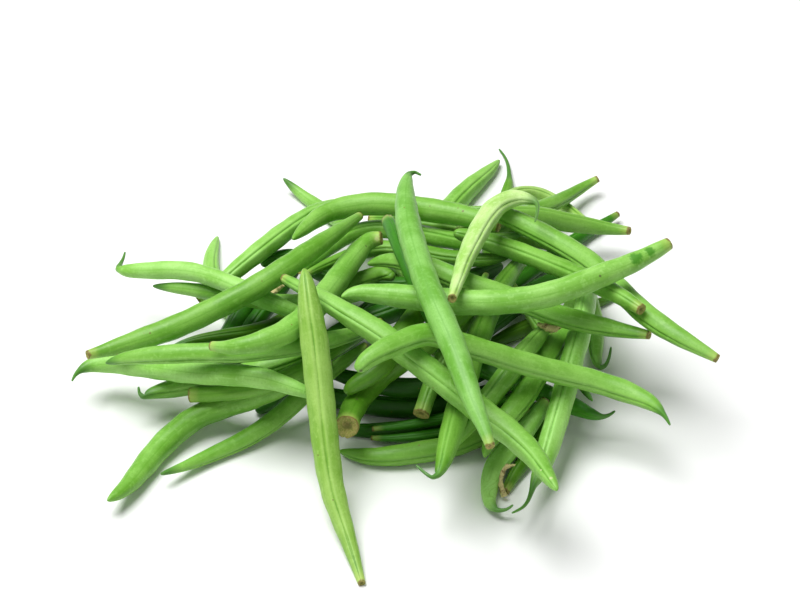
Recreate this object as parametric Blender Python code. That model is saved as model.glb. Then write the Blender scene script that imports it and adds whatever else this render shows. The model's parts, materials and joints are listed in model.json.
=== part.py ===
"""A loose heap of fresh green beans lying on a table.

Every pod is one closed solid. Its centreline is given as seen from the front, in picture
points, and the pods are laid down one after another: each sinks along the lines of sight
until it rests on the table or on the pods already there. Lengths are in millimetres until
the meshes are made, which are in metres. +Z is up and the front of the heap faces -Y.
"""

import math

import bpy
import numpy as np

# Size and view
MM = 0.001
POINT_SIZE = 0.37
VIEW_DISTANCE = 1000.0
VIEW_ELEVATION = math.radians(40.0)
AIM = np.array([0.0, 37.0, 0.0])
AIM_POINT = (400.0, 300.0)
FOCAL_POINTS = VIEW_DISTANCE / POINT_SIZE

# Resting: the air between pods, how far a pod presses into the table, and how it may bend
GAP = 0.36
TABLE_SINK = 0.42
SAMPLE_STEP = 2.4
CURVE_STEPS = 12
MEASURING_HEIGHT = 20.0
BOW_LIMIT = 16.0
BOW_STEP = 2.0
WAVE_LIMIT = 7.5
WAVE_STEP = 2.5
WAVE_PEAK = 10.4
BOW_COST = 0.015
WAVE_COST = 0.04
TILT_COST = 0.008
BALANCE_MARGIN = 0.12

# Form of a pod: its corners reach a little past the seen width, and its flat sides fall short of it
SIDES = 9
CORNER_GAIN = 1.03
GROOVE_ANGLE = math.radians(14.0)
GROOVE_DEPTH = 0.10
SEED_PITCH = 9.5
SEED_BULGE = 0.028
SEED_FADE = 25.0
SEED_SHIFT = 2.3
TAIL_RADIUS = 0.95
TAIL_TIP_RADIUS = 0.42
TAIL_TAPER = 0.7
CUT_DISH = 0.35
END_PROUD = 0.55

# Spacing of the rings along a pod
RING_STEP = 12.0
BEND_STEP = math.radians(23.0)
END_RINGS = 1.3
END_REACH = 3.2
LEAST_STRETCH = 1e-6

# Colour of a pod
GREENS = {"pale": (0.40, 0.62, 0.20), "mid": (0.24, 0.48, 0.11), "deep": (0.13, 0.33, 0.05)}
ROUGHNESS = 0.45

# A seam that lies on top of its pod
UPPERMOST = "uppermost"

# Ends: part of the full width left at the end, length of the taper, power of the taper
CUT = ("cut", 0.38, 32.0, 1.0)
WIDE_CUT = ("cut", 0.95, 20.0, 1.0)
FINE_CUT = ("cut", 0.26, 58.0, 1.0)
LONG_CUT = ("cut", 0.34, 48.0, 0.88)
BLUNT_CUT = ("cut", 0.5, 40.0, 0.9)
TRIMMED = ("cut", 0.55, 24.0, 0.8)
ROUND = ("round", 0.45, 20.0, 0.55)
POINT = ("round", 0.14, 28.0, 0.58)
LONG_POINT = ("round", 0.16, 44.0, 0.75)
TAIL = ("tail", 0.26, 21.0, 0.65)


def pod(path, width, start, end, seam=0.25, start_tail=(), end_tail=(), tone="mid", leaning=False):
    """What one pod is built from.

    seam runs from -1 to 1 across the side that is seen; None puts the seam on the far side,
    and UPPERMOST puts it on top, so that the pod lies on a flat side. A leaning pod may slope
    freely down to the table.
    """
    return {
        "path": path,
        "width": width,
        "start": start,
        "end": end,
        "seam": seam,
        "start_tail": list(start_tail),
        "end_tail": list(end_tail),
        "tone": tone,
        "leaning": leaning,
    }


# Pods at the back and in the core of the heap


def back_leaf():
    """The pointed pod that rises behind the heap, right of the middle."""
    path = [(499, 160.5), (492, 168.5), (483, 176.5), (470, 187), (454, 204), (438, 224), (412, 255)]
    path += [(385, 288)]
    return pod(path, 25, POINT, TRIMMED, seam=0.0, tone="deep")


def back_tailed():
    """The thin pod at the back with a long tail pointing up."""
    path = [(509.5, 177), (508.6, 186), (504, 205), (497, 232), (488, 262), (480, 290), (472, 315)]
    tail = [(509.3, 171), (508.5, 165), (505, 156), (499, 149)]
    return pod(path, 20, TAIL, TRIMMED, seam=-0.4, start_tail=tail, tone="deep")


def back_left_tip():
    """The thin pod that points up and left behind the long arch."""
    path = [(283.5, 178.5), (296, 190), (310, 201), (337, 219), (365, 239), (395, 262), (420, 284)]
    path += [(440, 300)]
    return pod(path, 17, POINT, TRIMMED, seam=None)


def back_right_tip():
    """The thin pod whose stem end shows beyond the blunt pods at the right."""
    path = [(618, 214), (607, 221), (592, 230), (575, 240), (550, 258), (520, 280), (495, 300)]
    path += [(470, 320)]
    return pod(path, 17, CUT, ROUND, seam=UPPERMOST, tone="deep")


def left_upright_tip():
    """The pod whose narrow end stands up behind the hooked pod at the left."""
    path = [(217.5, 237), (211.5, 254), (210.5, 270), (216, 288), (227, 305), (243, 321), (258, 339)]
    return pod(path, 23, POINT, TRIMMED, seam=0.5)


def left_core_outer():
    """A dark pod that crosses under the long pod at the left."""
    path = [(280, 262), (267, 280), (254, 296), (241, 313), (231, 330), (222, 348), (212, 368)]
    path += [(205, 390)]
    return pod(path, 20, TRIMMED, ROUND, seam=-0.6, tone="deep")


def left_core_inner():
    """A dark pod beside it, with a small stem end."""
    path = [(300, 262), (288, 278), (276, 294), (263, 312), (251, 328), (241, 345), (233, 362)]
    path += [(227, 380)]
    return pod(path, 19, TRIMMED, ROUND, seam=-0.2, tone="deep")


def left_gap_pod():
    """The dark pod seen in the opening between the two long pods at the upper left."""
    path = [(262, 264), (277, 258), (293, 257), (309, 265), (327, 276), (350, 283), (375, 285)]
    path += [(400, 285), (430, 281)]
    return pod(path, 19, ROUND, TRIMMED, seam=0.1, tone="deep")


def low_core_left():
    """A dark pod in the hollow left of the hanging pod."""
    path = [(257, 411), (270, 402), (283, 390), (300, 373), (320, 354), (343, 332), (368, 310)]
    path += [(393, 290)]
    return pod(path, 20, ROUND, TRIMMED, seam=UPPERMOST, tone="deep")


def left_second():
    """The pod just below the long pod at the left."""
    path = [(172, 347), (190, 341), (215, 337), (245, 334), (265, 330), (290, 320), (315, 307)]
    path += [(345, 296), (375, 290)]
    return pod(path, 19, LONG_POINT, TRIMMED, seam=0.3)


def core_diagonal():
    """A pod in the dark core, seen under the blunt curved pod."""
    path = [(308, 352), (335, 336), (362, 322), (390, 312), (420, 300), (450, 288), (475, 278)]
    path += [(500, 266)]
    return pod(path, 23, TRIMMED, ROUND, seam=0.2, tone="deep")


def core_round_end():
    """The pod whose round end shows above the blunt curved pod."""
    path = [(393.5, 277), (381, 273), (361, 280), (344, 289), (332, 296), (316, 306), (300, 318)]
    path += [(284, 331), (262, 346), (240, 356)]
    return pod(path, 20, ROUND, TRIMMED, seam=0.3, tone="deep")


def core_low_wide():
    """A dark pod across the lower middle."""
    path = [(300, 391), (325, 396), (355, 402), (384, 407), (415, 408), (445, 405), (475, 398)]
    path += [(500, 388), (530, 373)]
    return pod(path, 21, ROUND, CUT, seam=UPPERMOST, tone="deep")


def core_middle():
    """A dark pod behind the large cut end, in the hollow of the middle."""
    path = [(314, 366), (342, 376), (370, 383), (400, 388), (430, 387), (460, 380), (490, 367)]
    path += [(515, 353)]
    return pod(path, 20, CUT, ROUND, seam=UPPERMOST, tone="deep")


def core_low_second():
    """A dark pod below it, behind the large cut end."""
    path = [(322, 427), (350, 430), (380, 431), (410, 428), (440, 424), (470, 418), (500, 408)]
    path += [(530, 395)]
    return pod(path, 16, POINT, CUT, seam=UPPERMOST, tone="deep")


def core_thin_upper():
    """The upper one of two thin pods whose cut ends show at the lower middle."""
    path = [(372, 429), (403, 426), (435, 420), (470, 412), (510, 398), (542, 384)]
    return pod(path, 12, CUT, POINT, seam=0.2, tone="deep")


def core_thin_lower():
    """The lower one of the two thin pods."""
    path = [(371, 438), (397, 438.5), (435, 435), (470, 428), (505, 417), (540, 402)]
    return pod(path, 13, CUT, POINT, seam=0.2, tone="deep")


def front_low():
    """The plump pod lying lowest at the front of the middle."""
    path = [(339.5, 451), (358, 455.5), (384, 457), (422, 452), (450, 447), (475, 438), (500, 426)]
    path += [(528, 410)]
    return pod(path, 22, POINT, TRIMMED, seam=-0.5, tone="deep")


def right_thin_tip():
    """The thin pod whose end shows below the blunt curved pod at the right."""
    path = [(616, 298), (604, 301), (588, 306), (565, 313), (540, 322), (515, 332), (490, 345)]
    path += [(460, 363)]
    return pod(path, 17, POINT, CUT, seam=-0.3, tone="deep")


def core_right():
    """A dark pod behind the pods that run down at the right of the middle."""
    path = [(598, 265), (575, 274), (550, 284), (531, 294), (513, 306), (493, 321), (470, 338)]
    path += [(445, 354), (420, 368)]
    return pod(path, 23, TRIMMED, ROUND, seam=0.5, tone="deep")


def right_tail_low():
    """The pod at the lower right with a short tail."""
    path = [(602, 417), (593, 415), (584, 411), (574, 406.5), (560, 400.5), (545, 394), (520, 383)]
    path += [(495, 373), (470, 362), (430, 349)]
    tail = [(606, 417), (610, 415), (615, 411)]
    return pod(path, 20, TAIL, TRIMMED, seam=0.4, start_tail=tail, tone="deep")


def right_tip_mid():
    """The thin tip below the pod that runs out to the lower right."""
    path = [(592.5, 401), (585, 391), (572, 371), (556, 348), (540, 328), (525, 305), (510, 282)]
    return pod(path, 14, POINT, TRIMMED, seam=0.2)


def right_hook():
    """The pod at the right whose tail curls up."""
    path = [(600, 368), (596.5, 361), (595.5, 345), (595.5, 330), (592, 311), (585, 290), (576, 268)]
    path += [(567, 250)]
    tail = [(604, 367.5), (607.5, 362), (610, 356), (611, 347)]
    return pod(path, 20, TAIL, TRIMMED, seam=0.7, start_tail=tail)


# Pods that run down over the right of the heap


def corner_hook():
    """The pod that bends round the lower right corner and ends in a hooked tail."""
    path = [(496, 510), (489.5, 503), (489, 491), (491.5, 477), (497, 463), (507, 451), (519, 438)]
    path += [(533, 421), (545, 402)]
    tail = [(500, 511), (507, 509.5), (513, 505)]
    return pod(path, 21, TAIL, TRIMMED, seam=0.9, start_tail=tail, tone="deep")


def dried_stem():
    """The pod at the lower right that still carries its dried stem."""
    path = [(505, 492), (509.5, 484), (515, 474), (524, 461), (534, 447), (544.5, 433), (554, 416)]
    path += [(562, 392), (570, 362)]
    return pod(path, 21, CUT, ROUND, seam=0.6, tone="deep")


def right_flat():
    """The flat-sided pod with its seam at the lower edge."""
    path = [(484.5, 457), (488, 445), (497, 431), (509, 415), (521, 400), (531, 385), (538, 373)]
    path += [(548, 356), (557, 340), (564, 325), (572, 308), (580, 290)]
    return pod(path, 23, POINT, TRIMMED, seam=-0.75)


def right_stem_cap():
    """The pod that ends in a dried stem cap below the blunt curved pod."""
    path = [(546, 328), (531, 345), (517, 362), (505, 378), (492, 394), (480, 409), (466, 428)]
    path += [(450, 449)]
    return pod(path, 22, ROUND, POINT, seam=-0.35)


def mid_cut():
    """The slim pod in the middle with a tan cut end."""
    path = [(421, 415), (429, 391), (442, 360), (455, 338), (466, 318), (477, 294), (486, 275)]
    return pod(path, 17, WIDE_CUT, CUT, seam=0.0)


def middle_down():
    """The pod that runs down the middle and ends in a curled tail."""
    path = [(521, 261), (508, 277), (494, 299), (486, 318), (478, 340), (471, 360), (465.5, 384)]
    path += [(459, 405), (453.5, 425), (448, 445), (443, 463), (438, 475)]
    tail = [(434, 478), (426, 475), (416, 465)]
    return pod(path, 23, TRIMMED, TAIL, seam=-0.35, end_tail=tail)


def big_cut():
    """The thick pod cut off square at the front."""
    path = [(347, 427), (350, 415), (357, 402), (370, 386), (385, 372), (400, 361), (420, 347)]
    path += [(440, 333), (465, 312), (485, 292)]
    return pod(path, 24, WIDE_CUT, CUT, seam=None)


def middle_hook():
    """The pod that bends out from under the blunt curved pod, with a round end."""
    path = [(346, 392), (356, 384), (370, 376), (383, 366), (392, 352), (399, 337), (408, 324)]
    path += [(422, 309), (440, 292), (456, 276)]
    return pod(path, 21, ROUND, TRIMMED, seam=None)


def right_vertical():
    """The long pod running down the right side, with a tail at its lower end."""
    path = [(592, 268), (588, 290), (584, 312), (580, 332), (575, 350), (570, 368), (566, 387)]
    path += [(561, 405), (556, 422), (550, 443), (544, 462), (537, 478), (533, 486)]
    tail = [(531, 493), (528.5, 501), (521, 509.5), (512, 513)]
    return pod(path, 23, TRIMMED, TAIL, seam=-0.25, end_tail=tail)


# Pods that reach out to the left


def front_left_upper():
    """The upper one of two pods that reach down to the front left."""
    path = [(161, 474), (187, 465.5), (214, 453.5), (249, 437.5), (283, 413.5), (303, 394), (325, 375.5)]
    path += [(345, 361), (366, 345)]
    return pod(path, 19, LONG_POINT, CUT, seam=-0.75)


def front_left_lower():
    """The lower one of the two, ending in a point at the front left."""
    path = [(108, 500.5), (127, 487), (146, 464), (165, 442), (192, 419.5), (217, 408), (243, 400.5)]
    path += [(271, 390), (300, 377), (330, 361)]
    return pod(path, 24, POINT, CUT, seam=None)


def left_small_hook():
    """The pod with a small upturned tail at the left."""
    path = [(143, 397), (147, 395), (158, 391.5), (180, 387), (205, 382), (235, 376), (265, 368)]
    path += [(295, 358), (325, 347)]
    tail = [(140.5, 396), (139, 392), (138.5, 387)]
    return pod(path, 21, TAIL, TRIMMED, seam=-0.3, start_tail=tail)


def left_cut_low():
    """The pod with a cut end lying below it."""
    path = [(190, 395), (212, 394), (235, 392), (255, 389), (275, 382), (300, 370), (325, 355)]
    path += [(350, 340), (380, 322)]
    return pod(path, 16, WIDE_CUT, TRIMMED, seam=None)


def upper_left():
    """The broad pod with a strong seam that climbs to the long arch."""
    path = [(198, 301), (218, 285.5), (238, 268.5), (258, 252.5), (283, 233), (300, 221), (317, 211)]
    path += [(337, 204), (352, 202)]
    return pod(path, 21, CUT, POINT, seam=0.15)


def left_under():
    """The slim pod below the hooked pod at the left."""
    path = [(153, 286), (172, 287.5), (190, 289), (213, 293), (240, 298), (270, 302), (300, 303)]
    path += [(330, 300), (370, 293)]
    return pod(path, 17, POINT, TRIMMED, seam=None)


def left_hooked():
    """The pod at the far left whose tail points straight up."""
    path = [(118.5, 269), (124, 270.5), (135, 271), (152, 270.5), (182, 270), (205, 274.5), (225, 282)]
    path += [(250, 293), (280, 306), (310, 318)]
    tail = [(119.5, 265), (123.5, 259), (125, 252)]
    return pod(path, 19, ROUND, TRIMMED, seam=None, start_tail=tail)


def left_low_broad():
    """The broad pod that lies below the long pod and ends in a bent tail."""
    path = [(79, 371), (86, 367), (98, 364), (120, 363.5), (149, 367), (175, 371), (206, 374)]
    path += [(241, 375), (268, 379), (286, 385), (303, 391), (320, 397)]
    tail = [(76.5, 374), (73, 377), (72, 381)]
    return pod(path, 22, TAIL, CUT, seam=None, start_tail=tail)


# Pods across the back and the right


def back_thin():
    """The thin pod just below the long arch."""
    path = [(370, 219), (400, 220), (430, 224), (465, 229), (500, 234), (535, 240), (565, 250)]
    return pod(path, 17, TRIMMED, ROUND, seam=0.2)


def back_pale():
    """The pale pod behind the bent one at the top right."""
    path = [(588, 224), (573, 213), (558, 203), (543, 195.5), (528, 192), (512, 195), (495, 205)]
    path += [(475, 218), (455, 232)]
    return pod(path, 15, ROUND, CUT, seam=-0.5, tone="pale")


def right_up_cut():
    """The dark pod whose cut end points up and right."""
    path = [(598, 178.5), (585, 186), (570, 195), (556, 203), (540, 209), (520, 217), (500, 225)]
    path += [(480, 235), (455, 248)]
    return pod(path, 19.5, CUT, ROUND, seam=0.5, tone="deep")


def right_top_cut():
    """The pod with a brown cut end at the upper right."""
    path = [(630, 231), (615, 229.5), (600, 227.5), (580, 224.5), (560, 221), (540, 217), (525, 216)]
    path += [(500, 216), (470, 216), (435, 214)]
    return pod(path, 22, CUT, ROUND, seam=-0.7)


def long_arch():
    """The long pod arching over the top of the heap."""
    path = [(293, 239), (308, 225.5), (326, 213), (354, 205.5), (381, 203.5), (405, 206), (430, 210)]
    path += [(452, 213), (475, 218), (500, 226)]
    return pod(path, 24, POINT, TRIMMED, seam=None)


def back_wave():
    """The waved pod in front of the thin one at the back."""
    path = [(300, 271), (312, 262), (330, 248), (345, 237), (365, 230), (388, 229), (420, 234)]
    path += [(441, 238), (463, 242), (485, 241), (505, 238), (522, 233.5)]
    return pod(path, 19, CUT, POINT, seam=0.4)


def back_seamed():
    """The pod with a strong seam in front of the waved pod, ending in a short tail."""
    path = [(305, 275), (323, 266), (345, 257), (375, 249), (400, 249), (425, 253), (441, 257)]
    path += [(479, 260), (500, 258), (509, 256)]
    tail = [(512, 254), (513, 250), (511.5, 246)]
    return pod(path, 17, CUT, TAIL, seam=0.0, end_tail=tail)


def long_left():
    """The very long pod that reaches from the upper middle to the far left."""
    path = [(87, 355), (104.5, 350.5), (136.5, 340.5), (175, 327.5), (215.5, 308.5), (241, 295.5)]
    path += [(262, 283.5), (281, 271), (300, 258), (320, 244), (340, 230), (359.5, 216)]
    return pod(path, 23, CUT, CUT, seam=None)


def left_low_slim():
    """The slim pod that runs along below the long pod."""
    path = [(106, 363), (120, 359), (136, 356.5), (170, 354), (205, 352.5), (240, 353), (270, 350)]
    path += [(300, 346), (335, 339), (365, 330)]
    return pod(path, 19, POINT, TRIMMED, seam=-0.7)


def bent_dark():
    """The dark pod that bends up through the left of the heap."""
    path = [(212, 346), (226, 347.5), (244, 345.5), (260, 342), (276, 337), (289, 330), (307, 316)]
    path += [(322, 299), (334, 284), (343, 272), (352, 260), (361, 248), (370, 240), (382, 238)]
    return pod(path, 24, CUT, TRIMMED, seam=None)


def under_blunt():
    """The long pod that passes under the blunt curved pod and out to the right."""
    path = [(368, 264), (385, 260), (400, 261), (425, 266), (445, 274), (465, 283), (490, 291)]
    path += [(520, 301), (555, 315), (580, 321), (600, 326), (625, 331), (650, 335)]
    return pod(path, 22, POINT, CUT, seam=-0.6)


def right_long_low():
    """The long pod that reaches furthest to the right."""
    path = [(484, 209), (498, 213), (512, 219), (528, 226.5), (546, 235.5), (562, 244.5), (581, 256)]
    path += [(597, 268), (612, 282), (626, 296), (643, 312.5), (660.5, 325.5), (686, 341), (704, 351)]
    path += [(718, 359)]
    return pod(path, 22, ROUND, CUT, seam=-0.6)


def right_mid_cut():
    """The pod beside it whose cut end faces the front."""
    path = [(455, 233), (475, 238), (496, 244), (517, 251), (538, 259), (560, 268), (578, 275.5)]
    path += [(598, 284.5), (616, 293.5), (630, 302), (642, 310)]
    return pod(path, 20, ROUND, TRIMMED, seam=0.1)


def dark_upright():
    """The thin dark pod that stands behind the long upright one."""
    path = [(388, 221), (391, 228), (398, 245), (406, 263), (413, 280), (422, 300), (432, 322)]
    path += [(443, 345), (452, 366)]
    return pod(path, 14, WIDE_CUT, CUT, seam=0.5, tone="deep")


# Pods on top of the heap


def blunt_curved():
    """The thick curved pod lying across the front."""
    path = [(342, 297), (353, 293), (370, 293), (395, 295.5), (420, 298), (445, 301), (475, 303)]
    path += [(497, 302.5), (518, 300.5), (540, 297), (560, 291.5), (582, 283.5), (602, 275), (626, 266)]
    path += [(645, 257), (669, 243.5)]
    return pod(path, 25, POINT, BLUNT_CUT, seam=None)


def bent_over():
    """The pale pod at the top right, bent over at its upper end."""
    path = [(452, 299), (455, 289), (459, 278), (464, 262), (472, 245), (481, 227), (492, 210.5)]
    path += [(501, 203), (512, 198.5), (524, 198), (536, 202)]
    tail = [(539.5, 205), (538, 213), (535, 222)]
    return pod(path, 22, CUT, TAIL, seam=-0.35, end_tail=tail, tone="pale")


def long_diagonal():
    """The long pod that runs down across the whole front."""
    path = [(284, 278), (296, 285), (318, 296), (342, 311), (382, 335), (409, 355), (435, 375)]
    path += [(460, 394), (486, 415), (513, 435), (535, 457), (547, 475), (557, 490)]
    return pod(path, 25, LONG_CUT, POINT, seam=-0.2)


def pale_hooked():
    """The long pod with a pale round end over the middle and a bent tail at the right."""
    path = [(358, 370), (365, 361.5), (377, 353), (390, 346.5), (403, 341), (424, 334), (442, 337)]
    path += [(460, 344), (480, 350), (497, 355), (515, 361), (530, 365), (548, 370), (580, 377.5)]
    path += [(592, 380.5), (610, 386), (626, 391.5), (644, 399), (655, 405.5), (662.5, 413)]
    tail = [(666, 417), (668.5, 421), (670, 425)]
    return pod(path, 22, ROUND, TAIL, seam=-0.55, end_tail=tail)


def long_upright():
    """The long pod that runs up over the heap, with its tail at the top."""
    path = [(409, 174), (405, 189), (408, 224), (416, 252), (428, 288), (439, 313), (453, 345)]
    path += [(464, 376), (474, 405), (484.5, 428), (490.5, 447)]
    tail = [(411.5, 172.8), (416, 172.2), (421, 175)]
    return pod(path, 25, TAIL, LONG_CUT, seam=None, start_tail=tail)


def front_hanging():
    """The pale pod that hangs over the front of the heap."""
    path = [(304, 269), (306, 280), (309, 305), (313, 330), (319, 380), (323, 423), (331, 484)]
    path += [(340, 515), (350, 545), (362, 584)]
    return pod(path, 27, POINT, FINE_CUT, seam=-0.05, tone="pale", leaning=True)


LAYING_ORDER = (
    back_leaf,
    back_tailed,
    back_left_tip,
    back_right_tip,
    left_upright_tip,
    left_core_outer,
    left_core_inner,
    left_gap_pod,
    low_core_left,
    left_second,
    core_diagonal,
    core_round_end,
    dried_stem,
    core_low_wide,
    core_middle,
    core_low_second,
    core_thin_upper,
    core_thin_lower,
    front_low,
    right_thin_tip,
    core_right,
    right_tail_low,
    right_tip_mid,
    corner_hook,
    right_hook,
    right_flat,
    right_stem_cap,
    mid_cut,
    middle_down,
    big_cut,
    middle_hook,
    right_vertical,
    front_left_upper,
    front_left_lower,
    left_small_hook,
    left_cut_low,
    upper_left,
    left_under,
    left_hooked,
    left_low_broad,
    back_thin,
    back_pale,
    right_up_cut,
    right_top_cut,
    long_arch,
    back_wave,
    back_seamed,
    long_left,
    left_low_slim,
    bent_dark,
    under_blunt,
    right_long_low,
    right_mid_cut,
    dark_upright,
    blunt_curved,
    bent_over,
    long_diagonal,
    pale_hooked,
    long_upright,
    front_hanging,
)


# Lines of sight


def view_axes():
    """The eye's place and the directions to its right, upwards and forwards."""
    forward = np.array([0.0, math.cos(VIEW_ELEVATION), -math.sin(VIEW_ELEVATION)])
    right = np.array([1.0, 0.0, 0.0])
    up = np.cross(right, forward)
    return AIM - VIEW_DISTANCE * forward, right, up, forward


EYE, RIGHT, UP, FORWARD = view_axes()


def sight_lines(points):
    """The unit direction from the eye through each picture point."""
    across = (points[:, 0:1] - AIM_POINT[0]) / FOCAL_POINTS
    down = (points[:, 1:2] - AIM_POINT[1]) / FOCAL_POINTS
    lines = FORWARD + across * RIGHT - down * UP
    return lines / np.linalg.norm(lines, axis=1)[:, None]


# Centrelines


def along(points):
    """The distance along a chain of points, from its first point."""
    steps = np.linalg.norm(np.diff(points, axis=0), axis=1)
    return np.concatenate([[0.0], np.cumsum(steps)])


def smooth_chain(points, step):
    """Evenly spaced points on a smooth curve through the given ones."""
    points = np.asarray(points, dtype=float)
    before = 2.0 * points[0] - points[1]
    after = 2.0 * points[-1] - points[-2]
    knots = np.vstack([before, points, after])
    fine = []
    for index in range(1, len(knots) - 2):
        p0, p1, p2, p3 = knots[index - 1 : index + 3]
        for t in np.linspace(0.0, 1.0, CURVE_STEPS, endpoint=False):
            fine.append(
                0.5 * (2.0 * p1 + (p2 - p0) * t + (2.0 * p0 - 5.0 * p1 + 4.0 * p2 - p3) * t**2)
                + 0.5 * (3.0 * p1 - p0 - 3.0 * p2 + p3) * t**3
            )
    fine.append(points[-1])
    fine = np.array(fine)
    length = along(fine)
    count = max(3, int(round(length[-1] / step)) + 1)
    stations = np.linspace(0.0, length[-1], count)
    return np.column_stack([np.interp(stations, length, fine[:, k]) for k in range(fine.shape[1])])


def taper(distance, end):
    """The part of the full width at this distance from an end of the pod."""
    _, least, reach, power = end
    rise = np.sin(0.5 * math.pi * np.clip(distance / reach, 0.0, 1.0)) ** power
    return least + (1.0 - least) * rise


def seed_swell(distance, length, phase):
    """The slight swelling over the seeds, fading out towards both ends."""
    fade = np.clip(distance / SEED_FADE, 0.0, 1.0) * np.clip((length - distance) / SEED_FADE, 0.0, 1.0)
    return 1.0 + SEED_BULGE * fade * np.cos(2.0 * math.pi * (distance + phase) / SEED_PITCH)


def chain_of(spec, phase):
    """The whole pod as samples: picture points, radii and which samples are body."""
    step = SAMPLE_STEP / POINT_SIZE
    body = smooth_chain(spec["path"], step)
    distance = along(body) * POINT_SIZE
    length = distance[-1]
    full = 0.5 * spec["width"] * POINT_SIZE * CORNER_GAIN
    radius = full * taper(distance, spec["start"]) * taper(length - distance, spec["end"])
    radius = radius * seed_swell(distance, length, phase)
    points = body
    is_body = np.ones(len(body), dtype=bool)
    for key, at_start in (("start_tail", True), ("end_tail", False)):
        if not spec[key]:
            continue
        base = body[0] if at_start else body[-1]
        tail = smooth_chain([tuple(base)] + spec[key], step)[1:]
        reach = along(np.vstack([base, tail]))[1:]
        thin = TAIL_RADIUS + (TAIL_TIP_RADIUS - TAIL_RADIUS) * (reach / reach[-1]) ** TAIL_TAPER
        if at_start:
            points = np.vstack([tail[::-1], points])
            radius = np.concatenate([thin[::-1], radius])
            is_body = np.concatenate([np.zeros(len(tail), dtype=bool), is_body])
        else:
            points = np.vstack([points, tail])
            radius = np.concatenate([radius, thin])
            is_body = np.concatenate([is_body, np.zeros(len(tail), dtype=bool)])
    return points, radius, is_body


# Laying the pods down


def lowest_heights(lines, radius, laid_centres, laid_radii):
    """The least height of each sample that keeps it clear of the table and the laid pods."""
    reach = (EYE[2] - (radius - TABLE_SINK)) / -lines[:, 2]
    if len(laid_centres):
        offset = laid_centres - EYE
        depth = lines @ offset.T
        off_line = np.sum(offset**2, axis=1)[None, :] - depth**2
        clear = (radius[:, None] + laid_radii[None, :] + GAP) ** 2
        entry = np.where(off_line < clear, depth - np.sqrt(np.maximum(clear - off_line, 0.0)), np.inf)
        reach = np.minimum(reach, entry.min(axis=1))
    return EYE[2] + lines[:, 2] * reach


def upper_hull(x, y):
    """The indices of the points on the upper side of the hull, from left to right."""
    hull = []
    for index in range(len(x)):
        while len(hull) > 1:
            a, b = hull[-2], hull[-1]
            turn = (x[b] - x[a]) * (y[index] - y[a]) - (y[b] - y[a]) * (x[index] - x[a])
            if turn < 0.0:
                break
            hull.pop()
        hull.append(index)
    return hull


def resting_lines(x, y, middle):
    """The lines over all points that touch them on both sides of the middle, or nearly so."""
    hull = upper_hull(x, y)
    for a, b in zip(hull, hull[1:]):
        if x[a] - BALANCE_MARGIN <= middle <= x[b] + BALANCE_MARGIN:
            slope = (y[b] - y[a]) / (x[b] - x[a])
            yield y[a] + slope * (x - x[a])


def settle(lines, least, weight, tilt_cost):
    """The heights of a springy rod that rests on the least heights and lies as low as it can."""
    level = EYE + lines * ((EYE[2] - MEASURING_HEIGHT) / -lines[:, 2])[:, None]
    x = along(level)
    x = x / x[-1]
    middle = float(np.sum(x * weight) / np.sum(weight))
    best = None
    for bow in np.arange(-BOW_LIMIT, BOW_LIMIT + 0.1, BOW_STEP):
        for wave in np.arange(-WAVE_LIMIT, WAVE_LIMIT + 0.1, WAVE_STEP):
            arc = 4.0 * x * (1.0 - x)
            shape = bow * arc + 0.25 * WAVE_PEAK * wave * arc * (1.0 - 2.0 * x)
            bending = BOW_COST * bow**2 + WAVE_COST * wave**2
            for line in resting_lines(x, least - shape, middle):
                heights = shape + line
                tilt = tilt_cost * (line[-1] - line[0]) ** 2
                cost = np.sum(heights * weight) / np.sum(weight) + bending + tilt
                if best is None or cost < best[0]:
                    best = (cost, heights)
    return best[1]


def lay_pods():
    """Every pod's name, spec, sample centres, radii and body flags, in laying order."""
    laid = []
    centres = np.zeros((0, 3))
    radii = np.zeros(0)
    for number, maker in enumerate(LAYING_ORDER):
        spec = maker()
        points, radius, is_body = chain_of(spec, SEED_SHIFT * number)
        lines = sight_lines(points)
        least = lowest_heights(lines, radius, centres, radii)
        heights = settle(lines, least, radius**2, 0.0 if spec["leaning"] else TILT_COST)
        reach = (EYE[2] - heights) / -lines[:, 2]
        place = EYE + lines * reach[:, None]
        laid.append((maker.__name__, spec, place, radius, is_body))
        centres = np.vstack([centres, place])
        radii = np.concatenate([radii, radius])
    return laid


# Meshes


def ring_stations(centres, is_body):
    """The sample positions at which rings are set, closer together where the pod bends."""
    distance = along(centres)
    steps = np.diff(centres, axis=0)
    steps = steps / np.linalg.norm(steps, axis=1)[:, None]
    turn = np.arccos(np.clip(np.sum(steps[1:] * steps[:-1], axis=1), -1.0, 1.0))
    bend = np.concatenate([[0.0], np.cumsum(np.concatenate([turn, [0.0]]))])
    effort = distance / RING_STEP + bend / BEND_STEP
    first, last = np.flatnonzero(is_body)[[0, -1]]
    effort = effort + END_RINGS * (1.0 - np.exp(-(distance - distance[first]).clip(0.0) / END_REACH))
    effort = effort - END_RINGS * (1.0 - np.exp(-(distance[last] - distance).clip(0.0) / END_REACH))
    marks = [effort[0], effort[first], effort[last], effort[-1]]
    stations = []
    for low, high in zip(marks, marks[1:]):
        if high - low < LEAST_STRETCH:
            continue
        count = max(2, int(round(high - low)))
        stations.extend(np.linspace(low, high, count, endpoint=False))
    stations.append(effort[-1])
    return np.interp(stations, effort, distance)


def side_angles():
    """The angles of the ring's corners round the pod; the first one lies in the seam groove."""
    spread = 2.0 * math.pi - 2.0 * GROOVE_ANGLE
    others = [GROOVE_ANGLE + spread * k / (SIDES - 2) for k in range(SIDES - 1)]
    return np.array([0.0] + others)


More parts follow.
